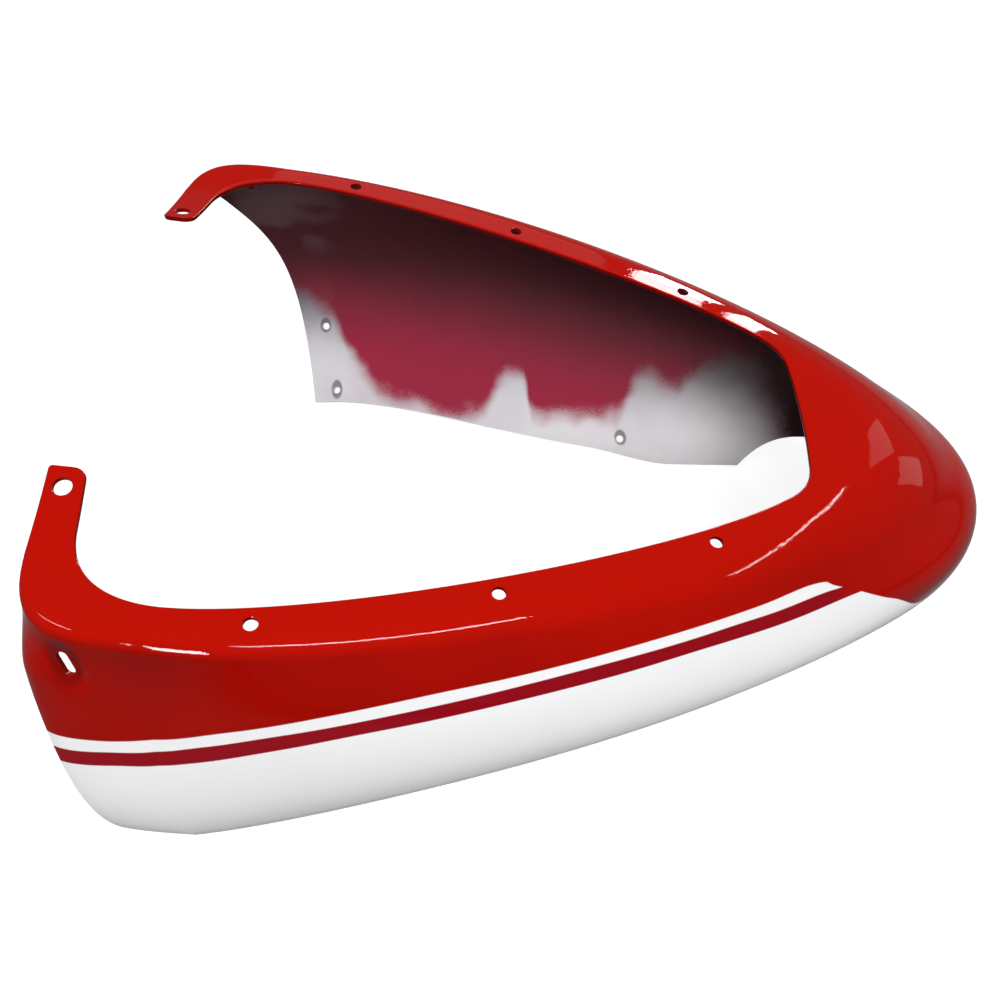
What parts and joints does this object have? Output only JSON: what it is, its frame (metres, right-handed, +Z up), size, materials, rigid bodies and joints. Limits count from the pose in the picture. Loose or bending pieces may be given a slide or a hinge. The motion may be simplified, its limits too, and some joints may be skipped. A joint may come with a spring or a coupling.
{
  "type": "motorcycle fairing",
  "caption": "Thin moulded upper half fairing that wraps round the front of a motorcycle, with a windscreen flange, rear fixing tabs and an open cockpit.",
  "frame": {"origin": "under the middle of the shell, on the plane that its lower edges stand on", "axes": "+X to the nose, +Y to the rider's left, +Z up"},
  "size_m": [0.6119, 0.5556, 0.2687],
  "materials": {
    "painted_shell": "glossy red paint outside with a white lower panel and white stripe, thin red and white overspray inside"
  },
  "bodies": {
    "root": {"fairing_shell": "painted_shell"}
  },
  "joints": []
}
